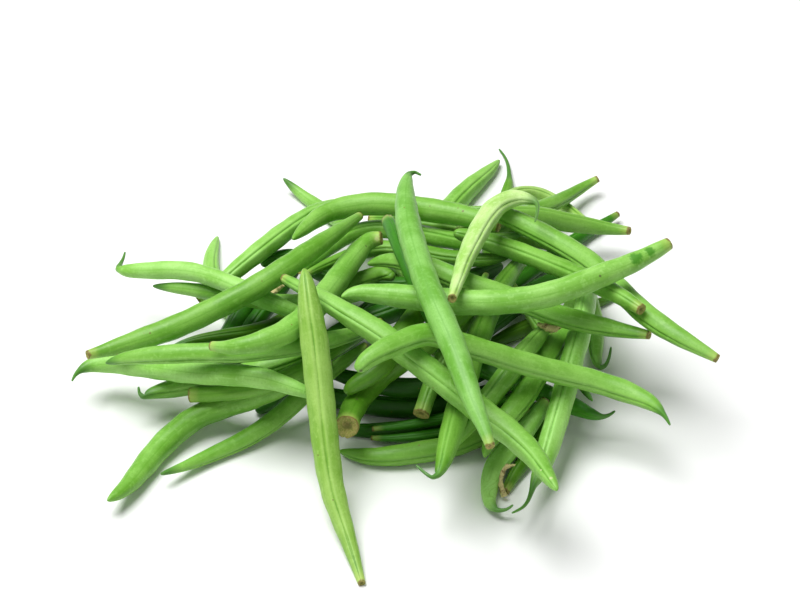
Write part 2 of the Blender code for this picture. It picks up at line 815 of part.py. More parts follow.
def seam_direction(spec, tangent, centre):
    """The two directions across the pod: towards the seam and a quarter turn on from it."""
    if spec["seam"] == UPPERMOST:
        seam = np.array([0.0, 0.0, 1.0]) - tangent * tangent[2]
        seam = seam / np.linalg.norm(seam)
        return seam, np.cross(tangent, seam)
    towards = EYE - centre
    towards = towards - tangent * np.dot(towards, tangent)
    towards = towards / np.linalg.norm(towards)
    sideways = np.cross(tangent, towards)
    angle = math.pi if spec["seam"] is None else math.asin(spec["seam"])
    seam = math.cos(angle) * towards - math.sin(angle) * sideways
    return seam, np.cross(tangent, seam)


def pod_rings(spec, centres, radius, is_body):
    """The rings of a pod and the two points that close its ends."""
    distance = along(centres)
    stations = ring_stations(centres, is_body)
    places = np.column_stack([np.interp(stations, distance, centres[:, k]) for k in range(3)])
    sizes = np.interp(stations, distance, radius)
    tangents = np.gradient(places, stations, axis=0)
    tangents = tangents / np.linalg.norm(tangents, axis=1)[:, None]
    angles = side_angles()
    factor = np.ones(SIDES)
    factor[0] = 1.0 - GROOVE_DEPTH
    rings = []
    for place, size, tangent in zip(places, sizes, tangents):
        seam, quarter = seam_direction(spec, tangent, place)
        spokes = np.cos(angles)[:, None] * seam + np.sin(angles)[:, None] * quarter
        rings.append(place + size * factor[:, None] * spokes)
    caps = []
    for index, key, tail, sign in ((0, "start", "start_tail", -1.0), (-1, "end", "end_tail", 1.0)):
        proud = -CUT_DISH
        if spec[tail] or spec[key][0] != "cut":
            proud = END_PROUD * sizes[index]
        caps.append(places[index] + sign * proud * tangents[index])
    return np.array(rings), caps


def pod_mesh(name, rings, caps):
    """The closed mesh of one pod, in metres."""
    count = len(rings)
    points = np.vstack([rings.reshape(-1, 3), caps[0], caps[1]]) * MM
    points[:, 2] = np.maximum(points[:, 2], 0.0)
    first, last = count * SIDES, count * SIDES + 1
    faces = []
    for j in range(count - 1):
        for k in range(SIDES):
            k2 = (k + 1) % SIDES
            a, b = j * SIDES + k, j * SIDES + k2
            faces.append((a, b, b + SIDES))
            faces.append((a, b + SIDES, a + SIDES))
    for k in range(SIDES):
        k2 = (k + 1) % SIDES
        faces.append((first, k2, k))
        faces.append((last, (count - 1) * SIDES + k, (count - 1) * SIDES + k2))
    mesh = bpy.data.meshes.new(name)
    mesh.from_pydata([tuple(p) for p in points], [], faces)
    mesh.update()
    return mesh


def pod_material(name, tone):
    """The pod's own material in one of the three greens."""
    material = bpy.data.materials.new(name)
    material.use_nodes = True
    shader = material.node_tree.nodes["Principled BSDF"]
    shader.inputs["Base Color"].default_value = (*GREENS[tone], 1.0)
    shader.inputs["Roughness"].default_value = ROUGHNESS
    return material


def build_pod(name, spec, rings, caps):
    """One pod as a named object with its material."""
    mesh = pod_mesh(name, rings, caps)
    mesh.materials.append(pod_material(name, spec["tone"]))
    mesh.shade_smooth()
    made = bpy.data.objects.new(name, mesh)
    bpy.context.scene.collection.objects.link(made)
    return made


def empty_scene():
    """Removes what the scene holds at the start."""
    for thing in list(bpy.data.objects):
        bpy.data.objects.remove(thing)


def middle_of(shapes):
    """The point midway across and along all the rings, at table height."""
    corners = np.vstack([rings.reshape(-1, 3) for _, _, rings, _ in shapes])
    middle = 0.5 * (corners.min(axis=0) + corners.max(axis=0))
    return np.array([middle[0], middle[1], 0.0])


def build_heap():
    """Builds the whole heap, with the middle of its footprint at the origin."""
    empty_scene()
    shapes = []
    for name, spec, centres, radius, is_body in lay_pods():
        rings, caps = pod_rings(spec, centres, radius, is_body)
        shapes.append((name, spec, rings, caps))
    middle = middle_of(shapes)
    for name, spec, rings, caps in shapes:
        build_pod(name, spec, rings - middle, [cap - middle for cap in caps])


build_heap()
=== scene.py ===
"""A loose heap of fresh green beans on a plain table.

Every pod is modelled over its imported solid: rounded off, grooved along its seams, swollen a
little over its seeds and hollowed at a cut end. Its skin follows the pod's own length and
girth. Lengths are in metres, +Z is up and the front of the heap faces -Y.
"""

import heapq
import json
import math

import bmesh
import bpy
import numpy as np
from bpy.props import FloatProperty, FloatVectorProperty, PointerProperty
from bpy.types import Operator, Panel, PropertyGroup
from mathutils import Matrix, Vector, noise

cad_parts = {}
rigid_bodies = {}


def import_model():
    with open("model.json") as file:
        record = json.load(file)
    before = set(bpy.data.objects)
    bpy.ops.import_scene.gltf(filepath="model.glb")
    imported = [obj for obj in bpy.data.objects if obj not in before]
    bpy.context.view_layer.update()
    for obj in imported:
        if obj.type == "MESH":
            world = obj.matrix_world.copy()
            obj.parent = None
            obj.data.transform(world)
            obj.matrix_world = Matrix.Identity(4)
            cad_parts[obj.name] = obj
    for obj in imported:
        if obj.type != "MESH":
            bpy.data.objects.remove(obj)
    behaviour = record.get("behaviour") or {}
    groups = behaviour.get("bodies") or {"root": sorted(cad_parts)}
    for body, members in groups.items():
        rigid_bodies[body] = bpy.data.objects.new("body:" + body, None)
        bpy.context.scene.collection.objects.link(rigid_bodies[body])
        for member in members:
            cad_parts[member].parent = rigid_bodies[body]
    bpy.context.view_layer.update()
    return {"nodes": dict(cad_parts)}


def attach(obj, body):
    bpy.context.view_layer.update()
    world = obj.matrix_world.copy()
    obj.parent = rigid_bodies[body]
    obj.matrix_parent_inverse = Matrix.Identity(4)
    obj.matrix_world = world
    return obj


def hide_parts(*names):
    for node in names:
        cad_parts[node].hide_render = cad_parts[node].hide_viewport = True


bl_info = {
    "name": "Green bean heap",
    "version": (1, 0, 0),
    "blender": (4, 5, 0),
    "location": "View3D > Sidebar > Beans",
    "description": "Dresses a heap of green bean pods and sets a plain stage",
    "category": "Object",
}

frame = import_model()
NODES = frame["nodes"]

MM = 0.001

# The eye from which the heap is seen, and the picture's scale at the aim
EYE = Vector((0.002918, -0.738914, 0.642788))
AIM = Vector((0.002918, 0.027130, 0.0))
AIM_POINT = (400.0, 300.0)
POINT_SIZE = 0.00037

# Each pod with its green and how much lighter or darker than that it is painted: partly the pod's own
# tone, partly painted light and painted shade for how brightly it is lit where it lies in the heap
BACK_PODS = (
    ("back_leaf", "mid", 0.2),
    ("back_tailed", "mid", -0.5),
    ("back_left_tip", "mid", 0.25),
    ("back_right_tip", "deep", 0.1),
    ("back_thin", "mid", -0.4),
    ("back_pale", "pale", -0.2),
    ("right_up_cut", "mid", -0.2),
    ("right_top_cut", "mid", -0.2),
    ("long_arch", "mid", 0.0),
    ("back_wave", "mid", 0.0),
    ("back_seamed", "mid", -0.3),
)
LEFT_PODS = (
    ("left_upright_tip", "mid", 0.35),
    ("left_second", "mid", -1.2),
    ("left_gap_pod", "deep", -0.3),
    ("left_small_hook", "mid", 0.0),
    ("left_cut_low", "mid", -0.5),
    ("upper_left", "mid", 0.4),
    ("left_under", "mid", 0.1),
    ("left_hooked", "mid", 0.6),
    ("left_low_broad", "mid", 0.5),
    ("long_left", "mid", -0.2),
    ("left_low_slim", "mid", 0.15),
    ("bent_dark", "mid", 0.1),
    ("front_left_upper", "mid", -0.1),
    ("front_left_lower", "mid", 0.0),
)
RIGHT_PODS = (
    ("right_thin_tip", "mid", -1.1),
    ("right_tail_low", "deep", 0.3),
    ("right_tip_mid", "mid", -0.3),
    ("right_hook", "mid", 0.6),
    ("corner_hook", "mid", 0.6),
    ("dried_stem", "mid", -0.9),
    ("right_flat", "mid", -0.15),
    ("right_stem_cap", "mid", 0.0),
    ("right_vertical", "mid", 0.5),
    ("right_long_low", "mid", 0.0),
    ("right_mid_cut", "mid", -0.1),
    ("under_blunt", "mid", 0.0),
)
# The core pods are made much darker: painted shade for the deep shade inside the heap
CORE_PODS_IN_PAINTED_SHADE = (
    ("left_core_outer", "deep", -0.7),
    ("left_core_inner", "deep", -0.7),
    ("low_core_left", "deep", -0.6),
    ("core_diagonal", "deep", -0.7),
    ("core_round_end", "mid", -0.4),
    ("core_low_wide", "deep", -0.6),
    ("core_middle", "deep", -0.9),
    ("core_low_second", "deep", -0.6),
    ("core_thin_upper", "deep", -0.3),
    ("core_thin_lower", "deep", -0.3),
    ("core_right", "deep", -0.8),
    ("front_low", "mid", -0.3),
    ("mid_cut", "mid", -0.1),
    ("middle_down", "mid", -0.35),
    ("big_cut", "mid", -0.7),
    ("middle_hook", "mid", -0.8),
)
TOP_PODS = (
    ("bent_over", "pale", 0.25),
    ("dark_upright", "deep", 0.0),
    ("blunt_curved", "mid", 0.4),
    ("long_diagonal", "mid", 0.1),
    ("pale_hooked", "mid", 0.0),
    ("long_upright", "cool", 0.2),
    ("front_hanging", "pale", -0.4),
)

# Marks on single pods: picture point, radius in mm and kind
MARKS = {
    "blunt_curved": ((636, 258, 3.0, "bruise"), (650, 251, 2.4, "bruise"), (600, 276, 0.7, "scar")),
    "pale_hooked": ((361, 371, 0.9, "scar"), (366, 374, 0.5, "scar")),
    "long_diagonal": ((551, 478, 0.7, "pale"), (541, 470, 0.45, "pale")),
    "long_arch": ((463, 211, 0.5, "speck"), (458, 208, 0.35, "speck"), (430, 206, 0.35, "speck")),
    "bent_dark": ((377, 239, 1.2, "pale"), (366, 246, 0.5, "scar")),
    "long_left": ((150, 333, 0.4, "speck"), (262, 281, 0.4, "speck")),
    "front_hanging": ((318, 455, 0.35, "speck"), (333, 500, 0.35, "speck"), (340, 540, 0.4, "speck")),
    "right_flat": ((531, 400, 0.5, "scar"),),
    "big_cut": ((357, 399, 0.7, "scar"),),
}

# Each dried piece with its pod, the picture point where it clings to the pod, its own picture
# points with radii in mm, and how far it stands out from the pod in mm
DRIED_PIECES = {
    "dried_cap": (
        "right_stem_cap",
        (544, 334),
        ((537, 324, 0.5), (544, 326, 1.3), (552, 329, 1.7), (559, 326, 1.2), (566, 322, 0.4)),
        0.3,
    ),
    "dried_curl": (
        "dried_stem",
        (507, 489),
        ((504, 496, 1.1), (500, 486, 0.8), (502, 474, 0.7), (507, 465, 0.8), (515, 465, 0.4)),
        1.2,
    ),
    "dried_stub": (
        "left_core_inner",
        (273, 297),
        ((266, 299, 0.7), (270, 296, 1.2), (274, 292, 1.1), (278, 288, 1.0), (282, 284, 1.4)),
        1.0,
    ),
}

# How a dried piece's points are joined, thickened and crinkled
CHAIN_ORDER = 3
CHAIN_RESOLUTION = 8
CHAIN_BEVEL = 3
CRINKLE_SIZE = 1.1 * MM
CRINKLE_SEED = 5
HUSK_SMOOTH_ANGLE = math.radians(50.0)

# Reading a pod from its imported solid
MERGE_DISTANCE = 0.00001
SHORTEST = 1e-12
SLICE_STEP = 1.6 * MM
FEWEST_SLICES = 12
SLICE_MARGIN = 0.002
SEAM_PASSES = 3
END_SLICES = 3
TAIL_GIRTH = 0.6 * MM
BODY_GIRTH = 1.05 * MM
TAIL_LEAD = 1.0 * MM
TAIL_FADE = 7.0 * MM
NO_CUT = 1.0

# Rounding a pod off and working its seams, seeds and ends
QUAD_FACE_ANGLE = math.radians(50.0)
QUAD_SHAPE_ANGLE = math.radians(70.0)
RIM_CREASE = 0.8
ROUNDING_LEVELS = 2
THINNEST = 1e-6
USUAL_GIRTH = 3.5 * MM
MOST_RELIEF = 1.2
FULL_RELIEF_FROM = 0.8
SEAM_WIDTH = 0.35 * MM
LIP_PLACE = 1.0 * MM
LIP_WIDTH = 0.5 * MM
BACK_SEAM_WIDTH = 0.5 * MM
LUMP_SIZE = 7.0 * MM
SEED_PHASE = 0.7
HOLLOW_RADIUS = 0.72
FULL_HOLLOW_GIRTH = 4.0 * MM
LEAST_HOLLOW = 0.2
POD_SMOOTH_ANGLE = math.radians(48.0)

# Shades: how fast a green changes with its amount, and factors for red, green and blue. A lighter step is
# also paler and bluer, a painted sheen like that of well-lit pods, and a darker step fuller, like painted
# shade
LIGHT_GAIN = 0.55
RED_GAIN = 0.2
BLUE_GAIN = 0.8
LIGHTER = (1.45, 1.25, 2.3)
MOST_LIGHT = 0.9
DARKER = (0.55, 0.72, 0.4)
GREENER = (0.62, 0.85, 0.55)
HOLLOW_SHADE = (0.5, 0.7, 0.5)
HUSK_LIGHTER = (1.3, 1.3, 1.3)
PALE_FIBRE_GAIN = 1.45
PALE_FIBRE_LIFT = 0.03
MARK_COLOURS = {
    "bruise": (0.05, 0.25, 0.01),
    "speck": (0.16, 0.13, 0.03),
    "scar": (0.09, 0.12, 0.03),
    "pale": (0.55, 0.62, 0.30),
}

# Noise: scale, detail and, where it isn't the usual one, roughness
PATCH_NOISE = (70.0, 2.0)
FINE_NOISE = (1500.0, 3.0, 0.6)
DOT_NOISE = (620.0, 2.0)
STREAK_NOISE = (900.0, 4.0, 0.6)
GAP_NOISE = (260.0, 2.0)
SCRATCH_NOISE = (700.0, 2.0, 0.4)
RARE_NOISE = (95.0, 1.0)
MARK_NOISE = (900.0, 2.0)
FLESH_NOISE = (900.0, 3.0, 0.6)
FLESH_FIBRE_NOISE = (3200.0, 3.0, 0.7)
HUSK_FOLD_NOISE = (480.0, 4.0, 0.65)
HUSK_FIBRE_NOISE = (2400.0, 3.0, 0.6)
FLOOR_NOISE = (3.0, 2.0)
FRECKLE_SCALE = 210.0
STREAK_STRETCH = (0.10, 1.0, 1.0)
GAP_STRETCH = (0.3, 1.0, 1.0)
SCRATCH_STRETCH = (1.0, 0.16, 0.5)
HUSK_FIBRE_STRETCH = (1.0, 1.0, 0.25)

# Ramps: where the change starts and ends and, where they aren't 0 and 1, its values there
PATCH_RAMP = (0.32, 0.68)
MOTTLING = (
    ("dots", "light", 0.50, 0.72, 0.0, 0.45),
    ("fine", "dark", 0.45, 0.72, 0.0, 0.28),
    ("streaks", "light", 0.52, 0.70, 0.0, 0.38),
    ("streaks", "dark", 0.46, 0.30, 0.0, 0.40),
)
LIP_INNER_EDGE = (0.2 * MM, 0.7 * MM)
LIP_OUTER_EDGE = (2.2 * MM, 0.9 * MM)
SEAM_LINE_EDGE = (0.26 * MM, 0.05 * MM)
GAP_RAMP = (0.35, 0.62, 0.15, 0.75)
BACK_LINE_RAMP = (0.40 * MM, 0.12 * MM, 0.0, 0.35)
FRECKLE_EDGE = (0.085, 0.045)
FRECKLE_CHOICE = (0.86, 0.90)
SCRATCH_RAMP = (0.66, 0.72)
RARE_RAMP = (0.60, 0.68)
TAIL_RAMP = (0.15, 1.0, 0.0, 0.9)
YELLOWING_RAMP = (4.5 * MM, 0.3 * MM, 0.0, 0.45)
RIM_RAMP = (0.85 * MM, 0.25 * MM, 0.0, 0.85)
GLOSS_RAMPS = {"patches": (0.3, 0.7, -0.05, 0.06), "fine": (0.3, 0.7, -0.03, 0.05)}
FLESH_RAMP = (0.38, 0.62)
PALE_FIBRE_RAMP = (0.50, 0.68, 0.0, 0.8)
DARK_FIBRE_RAMP = (0.46, 0.32, 0.0, 0.75)
FLESH_RIM_RAMP = (0.82, 0.97, 0.0, 0.8)
FLESH_HOLLOW_RAMP = (0.50, 0.15, 0.0, 0.7)
HUSK_FOLD_RAMP = (0.32, 0.52)
HUSK_FIBRE_RAMP = (0.50, 0.70, 0.0, 0.7)

# Sockets of a mix node that mixes colours
MIX_SHARE = 0
MIX_UNDER = 6
MIX_OVER = 7
MIX_RESULT = 2

# How strongly a layer is laid on, and how far a pattern sways
EVENNESS = 0.45
LIP_SHARE = 0.35
FRECKLE_SHARE = 0.75
SCUFF_SHARE = 0.5
MARK_SHARE = 0.85
MARK_CORE = 0.45
MARK_WARP = 1.1
SEAM_WANDER = 0.7 * MM
RIM_RAGGEDNESS = 1.6 * MM
FLESH_WAVE = 0.35

# Finish and fine relief
SKIN_SPECULAR = 0.36
FLESH_ROUGHNESS = 0.8
HUSK_ROUGHNESS = 0.75
FINE_RELIEF = 0.045 * MM
STREAK_RELIEF = 0.055 * MM
SEAM_LINE_RELIEF = 0.05 * MM
FLESH_RELIEF = 0.25 * MM
HUSK_RELIEF = 0.15 * MM

# Stage; each light has its size, its place and the point it faces
FLOOR_CELLS = 4
FLOOR_SIZE = 12.0
FLOOR_LOWER = 0.985
FLOOR_ROUGHNESS = 0.9
FLOOR_SPECULAR = 0.1
KEY_LIGHT = (0.8, (-0.35, 0.10, 1.15), (0.0, 0.0, 0.0))
FILL_LIGHT = (0.9, (0.3, -1.0, 0.7), (0.0, 0.0, 0.02))
SENSOR_WIDTH = 36.0
NEAREST_SEEN = 0.01


# Settings


class BeanSkinSettings(PropertyGroup):
    """The colours and finish of the pods."""

    pale_green: FloatVectorProperty(
        name="Pale green",
        description="Skin of the palest pods",
        subtype="COLOR",
        min=0.0,
        max=1.0,
        default=(0.39, 0.66, 0.13),
    )
    mid_green: FloatVectorProperty(
        name="Mid green",
        description="Skin of most pods",
        subtype="COLOR",
        min=0.0,
        max=1.0,
        default=(0.20, 0.47, 0.050),
    )
    cool_green: FloatVectorProperty(
        name="Cool green",
        description="Skin of the downy upright pod",
        subtype="COLOR",
        min=0.0,
        max=1.0,
        default=(0.17, 0.43, 0.050),
    )
    # Deep green is the darkest pods' own colour, made darker still as painted shade for the heap's shaded
    # core
    deep_green: FloatVectorProperty(
        name="Deep green",
        description="Skin of the darkest pods",
        subtype="COLOR",
        min=0.0,
        max=1.0,
        default=(0.036, 0.20, 0.004),
    )
    seam_green: FloatVectorProperty(
        name="Seam",
        description="Thin dark line along a seam",
        subtype="COLOR",
        min=0.0,
        max=1.0,
        default=(0.085, 0.27, 0.018),
    )
    yellowing: FloatVectorProperty(
        name="Yellowing",
        description="Skin close to a cut end",
        subtype="COLOR",
        min=0.0,
        max=1.0,
        default=(0.55, 0.66, 0.16),
    )
    dried_rim: FloatVectorProperty(
        name="Dried rim",
        description="Brown edge of a cut end, and brown specks",
        subtype="COLOR",
        min=0.0,
        max=1.0,
        default=(0.21, 0.13, 0.035),
    )
    cut_flesh: FloatVectorProperty(
        name="Cut flesh",
        description="Face of a cut end",
        subtype="COLOR",
        min=0.0,
        max=1.0,
        default=(0.42, 0.36, 0.10),
    )
    tail_green: FloatVectorProperty(
        name="Tail",
        description="Thin tail at the blossom end",
        subtype="COLOR",
        min=0.0,
        max=1.0,
        default=(0.07, 0.22, 0.03),
    )
    roughness: FloatProperty(
        name="Roughness",
        description="How broad the sheen on the skin is",
        subtype="FACTOR",
        min=0.0,
        max=1.0,
        default=0.43,
    )


class BeanShapeSettings(PropertyGroup):
    """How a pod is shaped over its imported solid."""

    rounding_gain: FloatProperty(
        name="Rounding gain",
        description="Part of the radius given back after the solid is rounded off",
        subtype="FACTOR",
        min=0.0,
        max=0.2,
        default=0.05,
    )
    seam_depth: FloatProperty(
        name="Seam depth",
        description="Depth of the fine line in the seam groove",
        subtype="DISTANCE",
        unit="LENGTH",
        min=0.0,
        max=0.001,
        default=0.00016,
    )
    lip_height: FloatProperty(
        name="Lip height",
        description="Height of the lips on both sides of the seam",
        subtype="DISTANCE",
        unit="LENGTH",
        min=0.0,
        max=0.001,
        default=0.00012,
    )
    back_seam_depth: FloatProperty(
        name="Back seam depth",
        description="Depth of the faint line opposite the seam",
        subtype="DISTANCE",
        unit="LENGTH",
        min=0.0,
        max=0.001,
        default=0.00008,
    )
    seed_pitch: FloatProperty(
        name="Seed pitch",
        description="Distance from one seed to the next",
        subtype="DISTANCE",
        unit="LENGTH",
        min=0.004,
        max=0.03,
        default=0.0105,
    )
    seed_height: FloatProperty(
        name="Seed height",
        description="How far the sides swell over a seed",
        subtype="DISTANCE",
        unit="LENGTH",
        min=0.0,
        max=0.001,
        default=0.00007,
    )
    lump_height: FloatProperty(
        name="Lump height",
        description="Height of the uneven lumps all over a pod",
        subtype="DISTANCE",
        unit="LENGTH",
        min=0.0,
        max=0.001,
        default=0.00004,
    )
    hollow_depth: FloatProperty(
        name="Hollow depth",
        description="Depth of the hollow in a cut end",
        subtype="DISTANCE",
        unit="LENGTH",
        min=0.0,
        max=0.004,
        default=0.0010,
    )


class BeanDriedSettings(PropertyGroup):
    """The dried stem pieces."""

    husk: FloatVectorProperty(
        name="Husk",
        description="Light side of a dried stem piece",
        subtype="COLOR",
        min=0.0,
        max=1.0,
        default=(0.58, 0.50, 0.22),
    )
    husk_shade: FloatVectorProperty(
        name="Husk shade",
        description="Dark fibres and folds of a dried stem piece",
        subtype="COLOR",
        min=0.0,
        max=1.0,
        default=(0.16, 0.10, 0.03),
    )
    crinkle: FloatProperty(
        name="Crinkle",
        description="How deep the folds of a dried piece are",
        subtype="DISTANCE",
        unit="LENGTH",
        min=0.0,
        max=0.002,
        default=0.00045,
    )


class BeanStageSettings(PropertyGroup):
    """The floor, lights and camera."""

    floor_colour: FloatVectorProperty(
        name="Floor",
        description="Colour of the plain floor",
        subtype="COLOR",
        min=0.0,
        max=1.0,
        default=(0.93, 0.93, 0.93),
    )
    key_power: FloatProperty(
        name="Key light",
        description="Power of the large soft light overhead",
        unit="POWER",
        min=0.0,
        default=19.5,
    )
    fill_power: FloatProperty(
        name="Fill light",
        description="Power of the soft light at the front",
        unit="POWER",
        min=0.0,
        default=1.5,
    )
    room_light: FloatProperty(
        name="Room light",
        description="Strength of the even light from all round",
        min=0.0,
        default=0.17,
    )
    lens: FloatProperty(
        name="Lens",
        description="Focal length of the camera",
        subtype="DISTANCE_CAMERA",
        unit="CAMERA",
        min=1.0,
        default=121.62,
    )


# Selecting and copying


def deselect_all():
    """Leaves nothing selected."""
    for thing in bpy.context.view_layer.objects:
        thing.select_set(False)


def pick(thing):
    """Makes this the only selected object, and the active one."""
    deselect_all()
    thing.select_set(True)
    bpy.context.view_layer.objects.active = thing


def copy_of_solid(name):
    """A merged copy of a pod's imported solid, free of its body."""
    pick(NODES[name])
    bpy.ops.object.duplicate(linked=False)
    made = bpy.context.view_layer.objects.active
    made.name = name + "_pod"
    made.data.name = made.name
    made.parent = None
    for key in list(made.keys()):
        del made[key]
    made.data.materials.clear()
    bpy.ops.object.mode_set(mode="EDIT")
    bpy.ops.mesh.select_all(action="SELECT")
    bpy.ops.mesh.remove_doubles(threshold=MERGE_DISTANCE)
    bpy.ops.object.mode_set(mode="OBJECT")
    return made


def vertex_places(mesh):
    """The mesh's points as rows of three."""
    places = np.empty(len(mesh.vertices) * 3)
    mesh.vertices.foreach_get("co", places)
    return places.reshape(-1, 3)


def keep_values(mesh, name, values):
    """Stores one number or vector a point on the mesh."""
    kind, field = ("FLOAT", "value") if values.ndim == 1 else ("FLOAT_VECTOR", "vector")
    held = mesh.attributes.new(name, kind, "POINT")
    held.data.foreach_set(field, np.ascontiguousarray(values).ravel())


# Measuring a pod


def reach_from(start, neighbours):
    """The shortest way over the mesh's edges from one point to every point."""
    reach = np.full(len(neighbours), np.inf)
    reach[start] = 0.0
    waiting = [(0.0, start)]
    while waiting:
        so_far, here = heapq.heappop(waiting)
        if so_far > reach[here]:
            continue
        for there, step in neighbours[here]:
            if so_far + step < reach[there]:
                reach[there] = so_far + step
                heapq.heappush(waiting, (so_far + step, there))
    return reach


def hub_near(point, neighbours):
    """The point that closes the pod's end at or beside this one, where most edges meet."""
    around = [point] + [there for there, _ in neighbours[point]]
    return max(around, key=lambda candidate: len(neighbours[candidate]))


def slice_at(level, along, places, corners):
    """The middle and the girth radius of the pod where it is cut across at this level."""
    below = along[corners] < level
    count = below.sum(axis=1)
    cut = (count == 1) | (count == 2)
    corners, below, count = corners[cut], below[cut], count[cut]
    lone = np.where(count == 1, below.argmax(axis=1), (~below).argmax(axis=1))
    rows = np.arange(len(corners))
    ends = []
    first = corners[rows, lone]
    for turn in (1, 2):
        other = corners[rows, (lone + turn) % 3]
        part = (level - along[first]) / (along[other] - along[first])
        ends.append(places[first] + (places[other] - places[first]) * part[:, None])
    pieces = np.linalg.norm(ends[1] - ends[0], axis=1)
    middle = (0.5 * (ends[0] + ends[1]) * pieces[:, None]).sum(axis=0) / pieces.sum()
    return middle, pieces.sum() / (2.0 * math.pi)


def groove_at(level, along, places, edges, folds):
    """The point of the sharpest inward fold where the pod is cut across at this level."""
    low, high = along[edges[:, 0]], along[edges[:, 1]]
    crossing = np.flatnonzero((np.minimum(low, high) <= level) & (np.maximum(low, high) > level))
    chosen = crossing[np.argmin(folds[crossing])]
    a, b = edges[chosen]
    part = (level - along[a]) / (along[b] - along[a])
    return places[a] + (places[b] - places[a]) * part


def smoothed(rows, passes):
    """Rows of numbers, evened out between neighbours."""
    for _ in range(passes):
        padded = np.vstack([rows[:1], rows, rows[-1:]])
        rows = (padded[:-2] + 2.0 * padded[1:-1] + padded[2:]) / 4.0
    return rows


def unit(rows):
    """Rows of vectors, each one unit long."""
    return rows / np.maximum(np.linalg.norm(rows, axis=-1, keepdims=True), SHORTEST)


def links_of(mesh):
    """The mesh's edges and how sharply they fold, its faces, and the neighbours of each point."""
    form = bmesh.new()
    form.from_mesh(mesh)
    form.normal_update()
    neighbours = [[] for _ in form.verts]
    edges = []
    folds = []
    for edge in form.edges:
        a, b = edge.verts[0].index, edge.verts[1].index
        step = edge.calc_length()
        neighbours[a].append((b, step))
        neighbours[b].append((a, step))
        edges.append((a, b))
        folds.append(edge.calc_face_angle_signed(0.0))
    corners = np.array([[vertex.index for vertex in face.verts] for face in form.faces])
    form.free()
    return np.array(edges), np.array(folds), corners, neighbours


def places_along(neighbours):
    """How far along the pod each point lies, and the points that close its two ends."""
    first = hub_near(int(np.argmax(reach_from(0, neighbours))), neighbours)
    from_first = reach_from(first, neighbours)
    last = hub_near(int(np.argmax(from_first)), neighbours)
    from_last = reach_from(last, neighbours)
    return from_first[last] * from_first / (from_first + from_last), (first, last)


def end_of(pole, rim, inner, girth, places):
    """One end: its closing point and rim, the way it faces, and whether it is cut or a tail."""
    middle = places[rim].mean(axis=0)
    outward = unit(middle - inner)
    return {
        "pole": pole,
        "rim": rim,
        "outward": outward,
        "cut": float(np.dot(places[pole] - middle, outward)) < 0.0,
        "tail": girth < TAIL_GIRTH,
    }


def measure_pod(mesh):
    """A pod's course, girth, seam side and ends, read from its merged solid."""
    places = vertex_places(mesh)
    edges, folds, corners, neighbours = links_of(mesh)
    along, poles = places_along(neighbours)
    rims = [[there for there, _ in neighbours[pole]] for pole in poles]
    low, high = (float(np.mean(along[rim])) for rim in rims)
    margin = SLICE_MARGIN * (high - low)
    count = max(FEWEST_SLICES, int((high - low) / SLICE_STEP))
    levels = np.linspace(low + margin, high - margin, count)
    slices = [slice_at(level, along, places, corners) for level in levels]
    middles = smoothed(np.array([middle for middle, _ in slices]), 1)
    girths = np.array([girth for _, girth in slices])
    grooves = np.array([groove_at(level, along, places, edges, folds) for level in levels])
    tangents = unit(np.gradient(middles, axis=0))
    seams = grooves - middles
    seams = unit(seams - tangents * np.sum(seams * tangents, axis=1)[:, None])
    return {
        "along": along,
        "levels": levels,
        "middles": middles,
        "girths": girths,
        "tangents": tangents,
        "seams": unit(smoothed(seams, SEAM_PASSES)),
        "ends": [
            end_of(poles[0], rims[0], middles[END_SLICES], girths[0], places),
            end_of(poles[1], rims[1], middles[-1 - END_SLICES], girths[-1], places),
        ],
    }


# Shaping a pod


def round_off(made, measures):
    """Turns the faceted solid into a smooth pod with crisp rims at its cut ends."""
    mesh = made.data
    keep_values(mesh, "along", measures["along"])
    caps = {end["pole"] for end in measures["ends"] if end["cut"]}
    rims = [set(end["rim"]) for end in measures["ends"] if end["cut"]]
    for face in mesh.polygons:
        face.material_index = 1 if caps.intersection(face.vertices) else 0
    pick(made)
    bpy.ops.object.mode_set(mode="EDIT")
    bpy.ops.mesh.select_all(action="SELECT")
    bpy.ops.mesh.tris_convert_to_quads(
        face_threshold=QUAD_FACE_ANGLE, shape_threshold=QUAD_SHAPE_ANGLE, materials=True
    )
    bpy.ops.object.mode_set(mode="OBJECT")
    creases = mesh.attributes.new("crease_edge", "FLOAT", "EDGE")
    for edge in mesh.edges:
        on_rim = any(edge.vertices[0] in rim and edge.vertices[1] in rim for rim in rims)
        creases.data[edge.index].value = RIM_CREASE if on_rim else 0.0
    rounding = made.modifiers.new("rounding", "SUBSURF")
    rounding.levels = ROUNDING_LEVELS
    bpy.ops.object.modifier_apply(modifier=rounding.name)


def course_at(measures, along):
    """The middle, direction, seam side and girth of the pod at these places along it."""
    levels = measures["levels"]
    read = {}
    for key in ("middles", "tangents", "seams"):
        rows = measures[key]
        read[key] = np.column_stack([np.interp(along, levels, rows[:, k]) for k in range(3)])
    girths = np.interp(along, levels, measures["girths"])
    return read["middles"], unit(read["tangents"]), unit(read["seams"]), girths


def distance_to_cut(measures, along):
    """How far each place is from the nearest cut end, or a long way where there is none."""
    levels = measures["levels"]
    away = np.full(len(along), NO_CUT)
    if measures["ends"][0]["cut"]:
        away = np.minimum(away, np.maximum(along - levels[0], 0.0))
    if measures["ends"][1]["cut"]:
        away = np.minimum(away, np.maximum(levels[-1] - along, 0.0))
    return away


def tail_share(measures, along):
    """1 on a thin tail, falling to 0 where the pod has swelled to its body."""
    levels, girths = measures["levels"], measures["girths"]
    share = np.zeros(len(along))
    for end, order in zip(measures["ends"], (1, -1)):
        if not end["tail"]:
            continue
        body = levels[::order][np.argmax(girths[::order] > BODY_GIRTH)]
        past = (along - body) * order
        share = np.maximum(share, 1.0 - np.clip((past + TAIL_LEAD) / TAIL_FADE, 0.0, 1.0))
    return share


def bell(distance, width):
    """1 at no distance, falling off smoothly over this width."""
    return np.exp(-((distance / width) ** 2))


